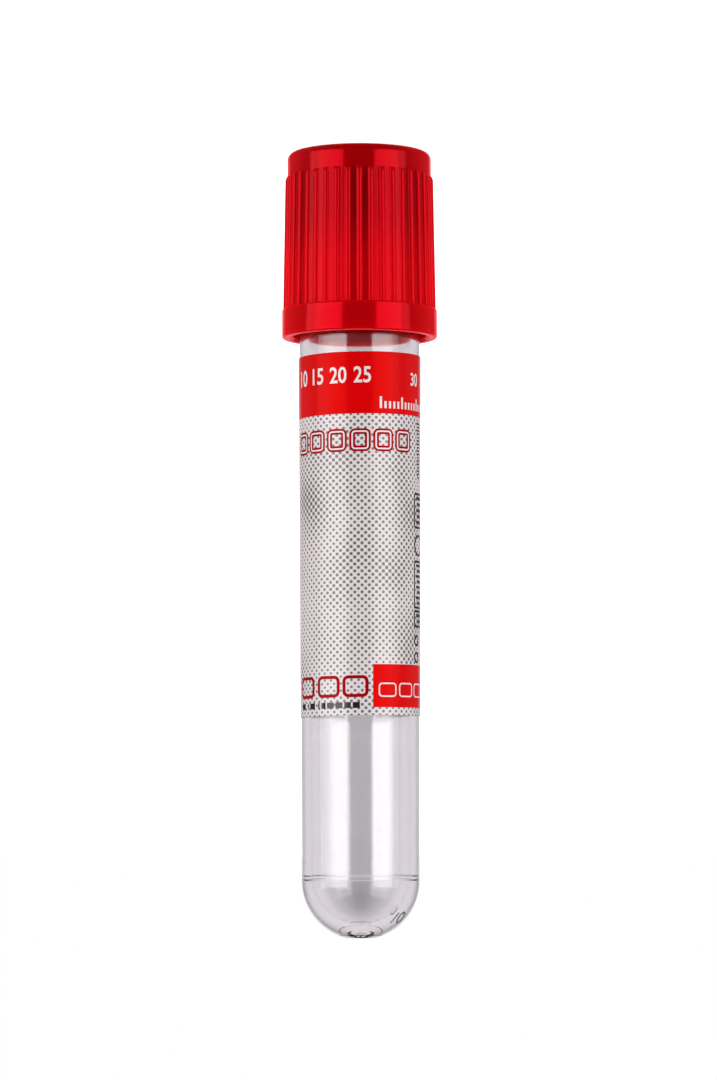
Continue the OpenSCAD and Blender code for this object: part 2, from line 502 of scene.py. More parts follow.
def vary(tree, fac, low, high, socket):
    """Feeds a socket with a value that runs from low to high with fac."""
    spread = tree.nodes.new("ShaderNodeMapRange")
    spread.inputs["From Min"].default_value = noise_low
    spread.inputs["From Max"].default_value = noise_high
    spread.inputs["To Min"].default_value = low
    spread.inputs["To Max"].default_value = high
    tree.links.new(fac, spread.inputs["Value"])
    tree.links.new(spread.outputs["Result"], socket)


def blend(tree, fac, first, second):
    """A mix of two colours, each given as a value or as a socket."""
    mix = tree.nodes.new("ShaderNodeMix")
    mix.data_type = "RGBA"
    tree.links.new(fac, mix.inputs["Factor"])
    for title, colour in (("A", first), ("B", second)):
        if isinstance(colour, tuple):
            mix.inputs[title].default_value = colour
        else:
            tree.links.new(colour, mix.inputs[title])
    return mix.outputs["Result"]


def darker(colour, share):
    """The same colour with a share of its brightness, and still opaque."""
    return tuple(share * channel for channel in colour[:3]) + (1,)


print("noise is stretched from", noise_low, "to", noise_high)

# %% [markdown]
# ### Clear plastic
#
# The tube is clear polyester, which bends light a little more than glass does. Its bore is sprayed
# with a fine coating that helps blood to clot and makes it look a touch frosted. The mark on its
# dome is the same plastic, tinted dark grey as painted shade for the dark lines that its edges bend
# into view. One function makes all three. Bent rays alone would throw a dark and grainy shadow, so
# a ray that asks for a lamp goes straight through: such light is nearly what a thin wall lets pass.

# %% Clear plastic
# The mark's dark grey tint is painted shade.
clear_tint, mark_shade_tint = (0.94, 0.93, 0.94, 1), (0.35, 0.34, 0.35, 1)
clear_shadow = (0.92, 0.92, 0.92, 1)
polyester_ior = 1.57


def make_clear_plastic(name, smoothest, roughest, tint):
    material, tree, plastic = new_material(name)
    plastic.inputs["Base Color"].default_value = tint
    plastic.inputs["Transmission Weight"].default_value = 1
    plastic.inputs["IOR"].default_value = polyester_ior
    grain = add_grain(tree, plastic, scale=900.0, stretch=(60.0, 60.0, 500.0), share=0.6, depth=0.004 * MM)
    vary(tree, grain.outputs["Streak"], smoothest, roughest, plastic.inputs["Roughness"])
    rays = tree.nodes.new("ShaderNodeLightPath")
    through = tree.nodes.new("ShaderNodeBsdfTransparent")
    through.inputs["Color"].default_value = clear_shadow
    mix = tree.nodes.new("ShaderNodeMixShader")
    tree.links.new(rays.outputs["Is Shadow Ray"], mix.inputs[0])
    tree.links.new(plastic.outputs[0], mix.inputs[1])
    tree.links.new(through.outputs[0], mix.inputs[2])
    tree.links.new(mix.outputs[0], tree.nodes["Material Output"].inputs["Surface"])
    return material


clear_plastic = make_clear_plastic("clear_plastic", smoothest=0.01, roughest=0.05, tint=clear_tint)
sprayed_plastic = make_clear_plastic("sprayed_bore", smoothest=0.05, roughest=0.12, tint=clear_tint)
shaded_mark_plastic = make_clear_plastic("shaded_mark_plastic", smoothest=0.1, roughest=0.2, tint=mark_shade_tint)
print("clear plastics:", clear_plastic.name, sprayed_plastic.name, shaded_mark_plastic.name)

# %% [markdown]
# ### Cap plastic
#
# The cap is thin red polyethylene. Light goes in, wanders and comes out close by, and only red
# light gets far. A plain red paint would look hard and flat, and a see-through red would show the
# stopper, so the plastic scatters light under its skin. Its gloss and its soft sheen are tinted
# red, because a grainy surface mixes what it mirrors with the red light from below.
#
# The red carries painted shade and painted light, which follow the relief and the height. Over the
# dark stopper the thin grooves get painted shade, a deeper red than the ribs and the plain band.
# Where only the clear tube is behind the skirt, painted light stands for what the thin wall lets
# through, so all of it is brighter and nearly alike, and the thin grooves are brightest. The cap's
# mesh brings the relief along as an attribute: 0 in a groove, 1 on a rib and 0.5 elsewhere.

# %% Reds of the cap
# Painted shade deepens the grooves over the stopper, and painted light brightens the skirt over the clear
# tube.
cap_reds_and_painted_light = {  # red share of the colour over the stopper and over the clear tube
    "groove": (0.24, 0.5),
    "plain": (0.39, 0.45),
    "rib": (0.36, 0.48),
}
cap_green, cap_blue = 0.0002, 0.0025
# Where the skirt's painted glow begins and where it is full.
painted_glow_start, painted_glow_end = 6.5 * MM, 13 * MM
relief_name = "relief"


def red_and_painted_light_by_relief(tree):
    """The cap's red with its painted shade and painted light, looked up by relief at both heights and then
    blended along the cap.
    """
    where = tree.nodes.new("ShaderNodeTexCoord")
    parts = tree.nodes.new("ShaderNodeSeparateXYZ")
    tree.links.new(where.outputs["Object"], parts.inputs[0])
    skirt = tree.nodes.new("ShaderNodeMapRange")
    skirt.interpolation_type = "SMOOTHSTEP"
    skirt.inputs["From Min"].default_value = painted_glow_start
    skirt.inputs["From Max"].default_value = painted_glow_end
    tree.links.new(parts.outputs["Z"], skirt.inputs["Value"])
    relief = tree.nodes.new("ShaderNodeAttribute")
    relief.attribute_name = relief_name
    levels = []
    for level in (0, 1):
        ramp = tree.nodes.new("ShaderNodeValToRGB")
        ramp.color_ramp.elements.new(0.5)
        for stop, reds in zip(ramp.color_ramp.elements, cap_reds_and_painted_light.values()):
            stop.color = (reds[level], cap_green, cap_blue, 1)
        tree.links.new(relief.outputs["Fac"], ramp.inputs["Fac"])
        levels.append(ramp.outputs["Color"])
    return blend(tree, skirt.outputs["Result"], *levels)


print("the skirt begins to glow at", painted_glow_start / MM, "mm and glows fully from", painted_glow_end / MM, "mm")

# %% Cap plastic
cap_settings = {
    "IOR": 1.81,
    "Subsurface Weight": 1.0,
    "Subsurface Radius": (1, 0.03, 0.03),
    "Subsurface Scale": 2.5 * MM,
    "Specular IOR Level": 1.0,
    "Specular Tint": (0.85, 0.008, 0.022, 1),
    "Sheen Weight": 1.0,
    "Sheen Roughness": 0.5,
    "Sheen Tint": (1, 0, 0.005, 1),
}
cap_smoothest, cap_roughest = 0.11, 0.19
cap_grain = {"scale": 6000.0, "stretch": (300.0, 300.0, 5000.0), "share": 0.6, "depth": 0.0022 * MM}


def make_cap_plastic():
    material, tree, plastic = new_material("cap_plastic")
    for title, value in cap_settings.items():
        plastic.inputs[title].default_value = value
    grain = add_grain(tree, plastic, **cap_grain)
    vary(tree, grain.outputs["Streak"], cap_smoothest, cap_roughest, plastic.inputs["Roughness"])
    tree.links.new(red_and_painted_light_by_relief(tree), plastic.inputs["Base Color"])
    return material


cap_plastic = make_cap_plastic()
print("cap:", cap_plastic.name, "with", len(cap_plastic.node_tree.nodes), "nodes")

# %% [markdown]
# ### Rubber
#
# The stopper is grey-black rubber with a dull, finely grained skin. It is only seen through clear
# plastic or when the cap is off, so two dark greys and a deeper grain than plastic has are enough.

# %% Rubber
rubber_dark, rubber_light = (0.016, 0.016, 0.018, 1), (0.03, 0.03, 0.032, 1)
rubber_smoothest, rubber_roughest = 0.5, 0.7


def make_rubber():
    material, tree, skin = new_material("stopper_rubber")
    grain = add_grain(tree, skin, scale=7000.0, stretch=(600.0, 600.0, 600.0), share=0.3, depth=0.012 * MM)
    greys = blend(tree, grain.outputs["Streak"], rubber_dark, rubber_light)
    tree.links.new(greys, skin.inputs["Base Color"])
    vary(tree, grain.outputs["Height"], rubber_smoothest, rubber_roughest, skin.inputs["Roughness"])
    return material


rubber = make_rubber()
print("stopper:", rubber.name)

# %% [markdown]
# ### Label film
#
# The label is a glossy white film with a grey raster of small dots, printed on the flat before it
# is wrapped. Thousands of dots as a mesh would be heavy, and a pattern in space would slide round
# the tube, so the raster is a material that counts along the film on its own UV map. A product of
# two cosines has a hill at every second crossing, and a threshold cuts a round dot out of each
# hill. A slow noise lifts the hills here and there, which makes the dots larger or smaller.

# %% Sizes of the film
label_wrap = math.radians(325)
label_length = 38.5 * MM
film_width = label_wrap * (rim_r + end_r) / 2
dot_pitch = (0.76 * MM, 0.74 * MM)
dot_low, dot_high = 0.64, 1.2  # where a dot begins and where it is full
swell_scale, swell_share = 150, 1.2
film_white = (0.715, 0.675, 0.655, 1)
dot_grey = (0.13, 0.122, 0.12, 1)
print(f"film: {film_width / MM:.1f} mm round the tube and {label_length / MM:.1f} mm along it")

# %% A raster of dots
def raster_of_dots(tree, paper):
    uv = tree.nodes.new("ShaderNodeUVMap")
    uv.uv_map = "print"
    parts = tree.nodes.new("ShaderNodeSeparateXYZ")
    tree.links.new(uv.outputs["UV"], parts.inputs[0])
    waves = []
    for axis, size, pitch in (("X", film_width, dot_pitch[0]), ("Y", label_length, dot_pitch[1])):
        turns = add_math(tree, "MULTIPLY", parts.outputs[axis], math.tau * size / pitch)
        waves.append(add_math(tree, "COSINE", turns, 0.0))
    hills = add_math(tree, "MULTIPLY", *waves)
    where = tree.nodes.new("ShaderNodeTexCoord")
    swell = tree.nodes.new("ShaderNodeTexNoise")
    swell.inputs["Scale"].default_value = swell_scale
    swell.inputs["Detail"].default_value = 1
    tree.links.new(where.outputs["Object"], swell.inputs["Vector"])
    level = add_math(tree, "MULTIPLY", swell.outputs["Fac"], swell_share)
    raised = add_math(tree, "ADD", hills, level)
    dots = tree.nodes.new("ShaderNodeMapRange")
    dots.interpolation_type = "SMOOTHSTEP"
    dots.inputs["From Min"].default_value = dot_low
    dots.inputs["From Max"].default_value = dot_high
    tree.links.new(raised, dots.inputs["Value"])
    return blend(tree, dots.outputs["Result"], paper, dot_grey)


print("dots repeat every", [round(pitch / MM, 2) for pitch in dot_pitch], "mm")

# %% Label film
film_roughness, film_gloss = 0.27, 0.55
film_grain = {"scale": 5000.0, "stretch": (400.0, 400.0, 400.0), "share": 0.5, "depth": 0.003 * MM}


def make_label_film(name, printed):
    material, tree, film = new_material(name)
    film.inputs["Roughness"].default_value = film_roughness
    film.inputs["Specular IOR Level"].default_value = film_gloss
    grain = add_grain(tree, film, **film_grain)
    colour = blend(tree, grain.outputs["Streak"], film_white, darker(film_white, 0.96))
    if printed:
        colour = raster_of_dots(tree, colour)
    tree.links.new(colour, film.inputs["Base Color"])
    return material


label_front = make_label_film("label_film", True)
label_back = make_label_film("label_backing", False)
print("label:", label_front.name, "in front and", label_back.name, "behind")

# %% [markdown]
# ### Inks
#
# The bold print lies on the film as ink: one colour with a faint unevenness, and almost the film's
# gloss. The red inks mirror the lamps in red, because the film's gloss shows through their colour.

# %% Inks
ink_roughness = 0.22
red_gloss, plain_gloss = (1, 0.03, 0.02, 1), (1, 1, 1, 1)


def make_ink(name, colour, gloss_tint):
    material, tree, ink = new_material(name)
    ink.inputs["Roughness"].default_value = ink_roughness
    ink.inputs["Specular Tint"].default_value = gloss_tint
    grain = add_grain(tree, ink, **film_grain)
    uneven = blend(tree, grain.outputs["Streak"], colour, darker(colour, 0.9))
    tree.links.new(uneven, ink.inputs["Base Color"])
    return material


red_ink = make_ink("red_ink", (0.7, 0.0006, 0.002, 1), red_gloss)
dark_red_ink = make_ink("dark_red_ink", (0.32, 0.0008, 0.006, 1), red_gloss)
black_ink = make_ink("black_ink", (0.012, 0.012, 0.012, 1), plain_gloss)
white_ink = make_ink("white_ink", (0.8, 0.79, 0.78, 1), plain_gloss)
print("inks:", red_ink.name, dark_red_ink.name, black_ink.name, white_ink.name)

# %% [markdown]
# ## The tube
#
# The real tube is moulded in one piece: it narrows a little from the rim, has a short straight
# band, and ends in a dome. A cylinder with a half-ball on top would have an edge between them and
# no wall, so the inside and the outside are one open wire that starts and ends on the axis. Spun
# round, it is a closed shell with a true wall, which is what bends the light at the sides.
#
# In the middle of the dome is the gate, a shallow recess with a flat disc, where the plastic
# flowed in.

# %% Sizes of the tube
tube_wall, dome_wall = 1.0 * MM, 1.2 * MM
past_plug, rim_round, rim_straight = 1.2 * MM, 0.3 * MM, 0.6 * MM
straight_band, band_lead = 3.5 * MM, 0.3 * MM
gate_flat_r, gate_recess_r, gate_mark_r = 1.55 * MM, 1.3 * MM, 0.6 * MM
gate_depth, gate_mark_height = 0.2 * MM, 0.08 * MM
gate_slope, gate_round = 0.12 * MM, 0.1 * MM
inside_steps, outside_steps, crown_steps, tube_steps = 40, 30, 5, 192

bore_r, core_r = rim_r - tube_wall, end_r - tube_wall
bore_end_z = stopper_high.z + past_plug
dome_z = end_z - math.sqrt(end_r**2 - gate_flat_r**2)
core_z = end_z - dome_wall - core_r
straight_z = dome_z - straight_band
print(f"bore radius {bore_r / MM:.2f} mm, dome begins at {dome_z / MM:.2f} mm")

# %% [markdown]
# Where two parts of the mould met, a hair-fine line runs round the tube: two of them on the
# straight band and one on the dome. They are small dips in the half-section. The arc of the dome
# stops just short of its dip and goes on behind it.

# %% Mould lines
line_depth, line_half = 0.03 * MM, 0.045 * MM
line_below_dome = 0.5 * MM
insert_r = 2.4 * MM


def line_moves(z):
    """A fine line across the tube's straight band, where two parts of the mould met."""
    return [(end_r, z - 2 * line_half), (end_r, z - line_half), (end_r - line_depth, z),
            (end_r, z + line_half), (end_r, z + 2 * line_half)]


insert_angle = math.degrees(math.acos(insert_r / end_r))
flat_angle = math.degrees(math.acos(gate_flat_r / end_r))
line_angle = math.degrees(line_half / end_r)
line_r = end_r - 2 * line_depth
line_point = (line_r * math.cos(math.radians(insert_angle)),
              dome_z + line_r * math.sin(math.radians(insert_angle)))
after_line = math.radians(insert_angle + line_angle)
print(f"the line on the dome runs {insert_angle:.1f} degrees up, the gate begins at {flat_angle:.1f}")

# %% Tube
tube_bm = bmesh.new()
draw_section(tube_bm, (0, core_z + core_r), [
    ("arc", 0, core_z, -90, inside_steps),
    (bore_r, bore_end_z),
    (bore_r, rim_z, rim_round),
    (rim_r, rim_z, rim_round),
    (rim_r, rim_z + rim_straight),
    (end_r, straight_z),
    (end_r, straight_z + band_lead),
    *line_moves(dome_z - line_below_dome),
    *line_moves(dome_z - line_half)[:-1],
    ("arc", 0, dome_z, insert_angle - line_angle, outside_steps),
    line_point,
    (end_r * math.cos(after_line), dome_z + end_r * math.sin(after_line)),
    ("arc", 0, dome_z, flat_angle - insert_angle - line_angle, crown_steps),
    (gate_recess_r + gate_slope, end_z, gate_round),
    (gate_recess_r - gate_slope, end_z - gate_depth, gate_round),
    (gate_mark_r, end_z - gate_depth),
    (gate_mark_r, end_z - gate_depth + gate_mark_height),
    (0, end_z - gate_depth + gate_mark_height),
], closed=False)
spin_section(tube_bm, tube_steps)
close_shell(tube_bm)
print("tube:", len(tube_bm.faces), "faces")

# %% [markdown]
# The coating in the bore could be a thin shell of its own, but one clear skin inside another
# bends the light twice. So the faces of the bore only get the other finish. They are the ones
# that face the axis, and those that look down from under the dome.

# %% Spray the bore
spray_start = rim_z + 1 * MM
axis_radius = 1e-9  # a face on the axis still needs a radius to divide by
sprayed_faces = 0
for face in tube_bm.faces:
    middle = face.calc_center_median()
    outwards = face.normal.xy.dot(middle.xy) / max(middle.xy.length, axis_radius)
    under_dome = face.normal.z < 0 and middle.z > core_z
    if middle.z > spray_start and (outwards < -0.5 or under_dome):
        face.material_index = 1
        sprayed_faces += 1
print("sprayed:", sprayed_faces, "faces")
add_piece(tube_bm, "clear_tube", "tube_body", [clear_plastic, sprayed_plastic], ["tube"])

# %% [markdown]
# ## The stopper
#
# The stopper is one rubber moulding. Its head sits in the cap and has a groove for the cap's
# bead, and its plug goes into the tube, where two rings seal. A well on one side and a hollow on
# the other leave only thin rubber for the needle. All of it is round, so it is one half-section
# again. A bead or a groove is an arc that starts where it crosses the straight side, which saves
# cutting one shape out of another.

# %% Beads, grooves and rings
fit_gap = 0.05 * MM
bead_steps = 8


def arc_across(centre_r, centre_z, radius, line_r, outwards, steps):
    """A bead or groove on a straight side: the point where its arc leaves the side, and the arc."""
    offset = line_r - centre_r
    half = math.acos(offset / radius) if outwards else math.pi - math.acos(offset / radius)
    reach = math.sqrt(radius**2 - offset**2)
    sweep = 2 * math.degrees(half)
    return (line_r, centre_z - reach), ("arc", centre_r, centre_z, sweep if outwards else -sweep, steps)


head_r, head_z, plug_z = stopper_high.x, stopper_low.z, stopper_high.z
seat_r = head_r + fit_gap
bead_section, bead_proud, bead_from_rim = 0.45 * MM, 0.25 * MM, 1.2 * MM
bead_centre_r = seat_r + bead_section - bead_proud
bead_z = rim_z - bead_from_rim
ring_r = bore_r - fit_gap
ring_section, ring_proud = 0.5 * MM, 0.25 * MM
plug_r = ring_r - ring_proud
ring_moves = []
for ring in (1, 2):
    ring_z = rim_z + (plug_z - rim_z) * ring / 3
    ring_moves += arc_across(ring_r - ring_section, ring_z, ring_section, plug_r, True, bead_steps)
print(f"head radius {head_r / MM:.2f} mm, plug {plug_r / MM:.2f} mm, over its rings {ring_r / MM:.2f} mm")

# %% Stopper
well_r, well_depth, hollow_r = 2.8 * MM, 3.2 * MM, 3.0 * MM
deep_round, edge_round = 1.0 * MM, 0.4 * MM
stopper_steps = 96

stopper_bm = bmesh.new()
draw_section(stopper_bm, (0, head_z + well_depth), [
    (well_r, head_z + well_depth, deep_round),
    (well_r, head_z),
    (head_r, head_z, edge_round),
    *arc_across(bead_centre_r, bead_z, bead_section + fit_gap, head_r, False, bead_steps),
    (head_r, rim_z, edge_round),
    (plug_r, rim_z),
    *ring_moves,
    (plug_r, plug_z, edge_round),
    (hollow_r, plug_z),
    (hollow_r, rim_z, deep_round),
    (0, rim_z),
], closed=False)
spin_section(stopper_bm, stopper_steps)
close_shell(stopper_bm)
add_piece(stopper_bm, "rubber_stopper", "closure", [rubber], ["stopper"])

# %% [markdown]
# ## The cap
#
# The cap is a moulded cup with a thin skirt that hangs clear of the tube. Inside it has the seat
# and the bead for the stopper, and an opening for the needle. Outside it has a smooth band round
# its closed end, forty ribs for the fingers, and a plain flange round its open end. The skirt
# widens a little towards the flange, so that it comes out of its mould.

# %% Sizes of the cap
skirt_gap, band_wall, open_wall = 0.75 * MM, 0.47 * MM, 0.72 * MM
skirt_r = rim_r + skirt_gap
band_r, open_r = skirt_r + band_wall, skirt_r + open_wall
band_length, flange_length = 2.5 * MM, 3.1 * MM
flange_z = cap_length - flange_length
end_round, flange_round = 0.7 * MM, 0.2 * MM
lead_in, port_bevel = 0.3 * MM, 0.3 * MM
wall_slope = (open_r - band_r) / (flange_z - band_length)


def wall_radius(z):
    return band_r + wall_slope * (z - band_length)


print(f"skirt radius {skirt_r / MM:.2f} mm inside, {band_r / MM:.2f} to {open_r / MM:.2f} mm outside")

# %% [markdown]
# A rib has a round back, leans with the wall, and is rounded off where it meets the band. Forty
# bars could be joined to a plain wall, but each joint would leave a seam in a plastic that lets
# light through. Here the wall is spun in many narrow columns, and the columns under a rib are
# moved outwards by the rib's height, so that wall and ribs are one skin. Extra rows of points
# near the band follow the rounded ends.

# %% Height of a rib
rib_count = 40
rib_radius = 0.35 * MM
rib_proud = 0.235 * MM
rib_end_round, rib_end_extra = 0.5 * MM, 0.03 * MM
rib_end_reach = band_r + rib_proud + rib_end_extra


def rib_height(angle, z):
    """How far the nearest rib stands out of the wall in that direction, or 0 beside it."""
    pitch = math.tau / rib_count
    beside = (angle + math.pi / 2 + pitch / 2) % pitch - pitch / 2
    off = min(abs(wall_radius(z) * math.sin(beside)), rib_radius)
    height = math.sqrt(rib_radius**2 - off**2) - (rib_radius - rib_proud)
    before_end = band_length + rib_end_round - z
    if before_end > 0:
        end_reach = rib_end_reach - rib_end_round + math.sqrt(max(rib_end_round**2 - before_end**2, 0))
        height = min(height, end_reach - wall_radius(z))
    return max(height, 0)


front, half_way = -math.pi / 2, (band_length + flange_z) / 2
print(f"ribs: {rib_count}, {rib_height(front, half_way) / MM:.3f} mm high half way along")

# %% Body of the cap
columns_a_rib = 26
row_turn, row_count = 18, 6
rib_end_rows = [band_length + rib_end_round * (1 - math.cos(math.radians(row_turn * row)))
                for row in range(row_count)]

cap_bm = bmesh.new()
draw_section(cap_bm, (port_r, head_z), [
    (seat_r, head_z),
    *arc_across(bead_centre_r, bead_z, bead_section, seat_r, False, bead_steps),
    (seat_r, rim_z),
    (skirt_r, rim_z + skirt_r - seat_r),
    (skirt_r, cap_length - lead_in),
    (skirt_r + lead_in, cap_length),
    (flange_r, cap_length, flange_round),
    (flange_r, flange_z, flange_round),
    (open_r, flange_z),
    *[(wall_radius(z), z) for z in reversed(rib_end_rows)],
    (band_r, 0, end_round),
    (port_r + port_bevel, 0),
    (port_r, port_bevel),
], closed=True)
spin_section(cap_bm, rib_count * columns_a_rib)
print("cap without ribs:", len(cap_bm.verts), "points")

# %% [markdown]
# One loop moves the points and writes the relief that the cap's painted shade and painted light
# are read from. Points of the flange that already stand farther out than a rib stay where they are
# and count as groove.

# %% Raise the ribs
above_band, above_flange, inside_band = 0.05 * MM, 0.1 * MM, 0.01 * MM
relief = cap_bm.verts.layers.float.new(relief_name)
raised_points = 0
for vert in cap_bm.verts:
    x, y, z = vert.co
    radius = math.hypot(x, y)
    vert[relief] = 0.5
    if band_length + above_band < z < flange_z + above_flange and radius > band_r - inside_band:
        height = rib_height(math.atan2(y, x), z)
        vert[relief] = 0
        if wall_radius(z) + height > radius:
            vert[relief] = height / rib_proud
            reach = (wall_radius(z) + height) / radius
            vert.co = Vector((x * reach, y * reach, z))
            raised_points += 1
close_shell(cap_bm)
print("raised:", raised_points, "points")
add_piece(cap_bm, "ribbed_cap", "closure", [cap_plastic], ["cap"])

# %% [markdown]
# ## The label
#
# The label is a strip of film that goes most of the way round the tube and leaves a slit to look
# through. It is made as a real one is put on: one edge along the tube, wound round it. A spin
# over less than a full turn does that, and each corner then gets its place on the flat film as a
# UV. The tube narrows, and the wrap sits a little askew, so the sheet leans too. Solidify gives it
# its thickness, with the printed face outside and plain backing inside.

# %% Label
glue_gap, label_thickness = 0.02 * MM, 0.08 * MM
film_lift = glue_gap + label_thickness
label_from_rim = 13.05 * MM
label_start = rim_z + label_from_rim
label_skew = math.tan(math.radians(0.7))
label_columns = 160


def side_radius(z):
    """Radius of the tube's outside, which narrows evenly from the rim to the straight band."""
    along = (z - rim_z) / (straight_z - rim_z)
    return rim_r + (end_r - rim_r) * along


label_bm = bmesh.new()
edge_ends = [label_bm.verts.new((side_radius(z) + film_lift, 0, z))
             for z in (label_start, label_start + label_length)]
label_bm.edges.new(edge_ends)
bmesh.ops.rotate(label_bm, verts=label_bm.verts[:], cent=(0, 0, 0),
                 matrix=Matrix.Rotation(-math.pi / 2 - label_wrap / 2, 3, "Z"))
bmesh.ops.spin(label_bm, geom=label_bm.verts[:] + label_bm.edges[:], cent=(0, 0, 0), axis=(0, 0, 1),
               angle=label_wrap, steps=label_columns)
print("label:", len(label_bm.faces), "strips, from", round(label_start / MM, 2), "mm up")

# %% [markdown]
# The UV is worked out before the tilt, so that the raster leans with the film.

# %% Unroll, tilt and thicken the label
label_uv = label_bm.loops.layers.uv.new("print")
for face in label_bm.faces:
    for loop in face.loops:
        x, y, z = loop.vert.co
        turn = math.atan2(x, -y)
        loop[label_uv].uv = (turn / label_wrap + 0.5, (z - label_start) / label_length)
for vert in label_bm.verts:
    vert.co.z += label_skew * vert.co.x
bmesh.ops.reverse_faces(label_bm, faces=label_bm.faces[:])
label = add_piece(label_bm, "film_label", "tube_body", [label_front, label_back],
                  ["label"], sheet=True)
shell = label.modifiers.new("thickness", "SOLIDIFY")
shell.thickness = label_thickness
shell.offset = -1
shell.material_offset = 1
shell.material_offset_rim = 1
print("label:", label_thickness / MM, "mm thick")

# %% [markdown]
# ## The print
#
# The bold print is ink of its own, so that its edges stay crisp: each colour is a thin sheet that
# is drawn on the flat, cut into narrow strips so that it can bend, and then wrapped round the
# label. A picture could hold it all, but it would blur close by. It is all plain: a red band,
# frames, bars, and the numbers of a scale.

# %% Draw bars and frames
frame_segments = 4


def draw_bar(left, right, low, high):
    """A filled box. Left to right runs round the tube and low to high along it."""
    bm = bmesh.new()
    corners = ((left, low), (right, low), (right, high), (left, high))
    bm.faces.new([bm.verts.new((u, v, 0)) for u, v in corners])
    return bm


def draw_frame(left, right, low, high, line, rounding):
    """A box's outline: its face gets round corners, is inset, and loses its middle."""
    bm = draw_bar(left, right, low, high)
    bmesh.ops.bevel(bm, geom=bm.verts[:], affect="VERTICES", offset=rounding, offset_type="OFFSET",
                    segments=frame_segments, profile=0.5, material=-1)
    rim = bmesh.ops.inset_region(bm, faces=bm.faces[:], thickness=line, use_boundary=True,
                                 use_even_offset=True)["faces"]
    bmesh.ops.delete(bm, geom=[face for face in bm.faces if face not in rim], context="FACES")
    return bm


def in_mm(draw, *sizes):
    return draw(*[size * MM for size in sizes])


print("a frame's corner has", frame_segments, "segments")

# %% [markdown]
# A number starts as text, which Blender turns into a mesh of its own. It is read with the cap at
# the top, so it stands upside down in the frame. Printed figures are narrow and a little bold, so
# it is squeezed and its outline grows.

# %% Draw numbers
number_squeeze, number_swell = 0.8, 0.015
glyph_merge = 1e-4


def draw_number(text, middle, low, high):
    letters = bpy.data.curves.new("number", "FONT")
    letters.body = text
    letters.align_x = "CENTER"
    letters.resolution_u = 3
    letters.offset = number_swell
    holder = bpy.data.objects.new("number", letters)
    flat = bpy.data.meshes.new_from_object(holder)
    bm = bmesh.new()
    bm.from_mesh(flat)
    bpy.data.objects.remove(holder)
    bpy.data.curves.remove(letters)
    bpy.data.meshes.remove(flat)
    bmesh.ops.remove_doubles(bm, verts=bm.verts[:], dist=glyph_merge)
    tallest = max(vert.co.y for vert in bm.verts)
    size = (high - low) / tallest
    bmesh.ops.scale(bm, vec=(-size * number_squeeze, -size, size), verts=bm.verts[:])
    bmesh.ops.translate(bm, vec=(middle, high, 0), verts=bm.verts[:])
    return bm


print("numbers keep", number_squeeze, "of their width")

# %% [markdown]
# Wrapping is plain arithmetic once the marks are narrow strips: the distance round the flat film
# becomes an angle. The ink floats a hair above the film, because two faces in one place would
# flicker through each other.

# %% Wrap ink round the label
print_r = (rim_r + end_r) / 2
strip_width = 0.3 * MM
ink_gap, ink_thickness = 0.008 * MM, 0.004 * MM


def join_marks(marks):
    sheet = bmesh.new()
    flat = bpy.data.meshes.new("flat")
    for mark in marks:
        mark.to_mesh(flat)
        mark.free()
        sheet.from_mesh(flat)
    bpy.data.meshes.remove(flat)
    return sheet


def wrap_print(name, marks, material, lift):
    """Joins flat marks, cuts them into narrow strips and lays them round the label."""
    sheet = join_marks(marks)
    first = math.ceil(min(vert.co.x for vert in sheet.verts) / strip_width)
    last = math.floor(max(vert.co.x for vert in sheet.verts) / strip_width)
    for strip in range(first, last + 1):
        bmesh.ops.bisect_plane(sheet, geom=sheet.verts[:] + sheet.edges[:] + sheet.faces[:],
                               plane_co=(strip * strip_width, 0, 0), plane_no=(1, 0, 0))
    for vert in sheet.verts:
        turn = vert.co.x / print_r
        z = label_start + vert.co.y
        radius = side_radius(z) + film_lift + lift
        x = radius * math.sin(turn)
        vert.co = Vector((x, -radius * math.cos(turn), z + label_skew * x))
    print_piece = add_piece(sheet, name, "tube_body", [material], sheet=True)
    ink = print_piece.modifiers.new("ink", "SOLIDIFY")
    ink.thickness = ink_thickness
    ink.offset = -1


print("flat marks are cut into strips of", strip_width / MM, "mm")

# %% [markdown]
# The places of the marks are millimetres on the flat film: first round the tube, from the middle
# of its front, then along it, from the label's edge beside the cap. The red ink fills a band at
# that edge and a box at the other end. Darker red frames stand in two rows.

# %% The red print
film_half, film_edge = film_width / 2, 0.02 * MM
band_end = 6.62
# Left and right ends, as they are read with the cap at the top.
row_of_frames = [(8.6 - 2.5 * place, 6.35 - 2.5 * place) for place in range(6)]
box_row = [(8.25, 5.45), (4.95, 2.2), (1.9, -0.87)]

red_marks = [draw_bar(-film_half + film_edge, film_half - film_edge, film_edge, band_end * MM),
             in_mm(draw_bar, -14, -1.35, 33.15, 37.69)]
line_marks = [in_mm(draw_frame, right, left, 8.2, 10.65, 0.62, 0.6) for left, right in row_of_frames]
line_marks += [in_mm(draw_frame, right, left, 34.3, 36.6, 0.34, 0.6) for left, right in box_row]
wrap_print("red_print", red_marks, red_ink, ink_gap)
wrap_print("dark_red_print", line_marks, dark_red_ink, ink_gap)

# %% [markdown]
# White ink carries the numbers and ticks of a scale on the red band, and four frames in the red
# box. The dark red frames get a white core inside their line. All of it is printed over the red,
# so the white ink lies one layer higher.

# %% The white print
scale_numbers = (("5", 9.7), ("10", 7.4), ("15", 4.9), ("20", 2.3), ("25", -0.3))
tick_pitch, tick_width, tick_end = 0.52, 0.25, 6.05
tick_start = -2.1

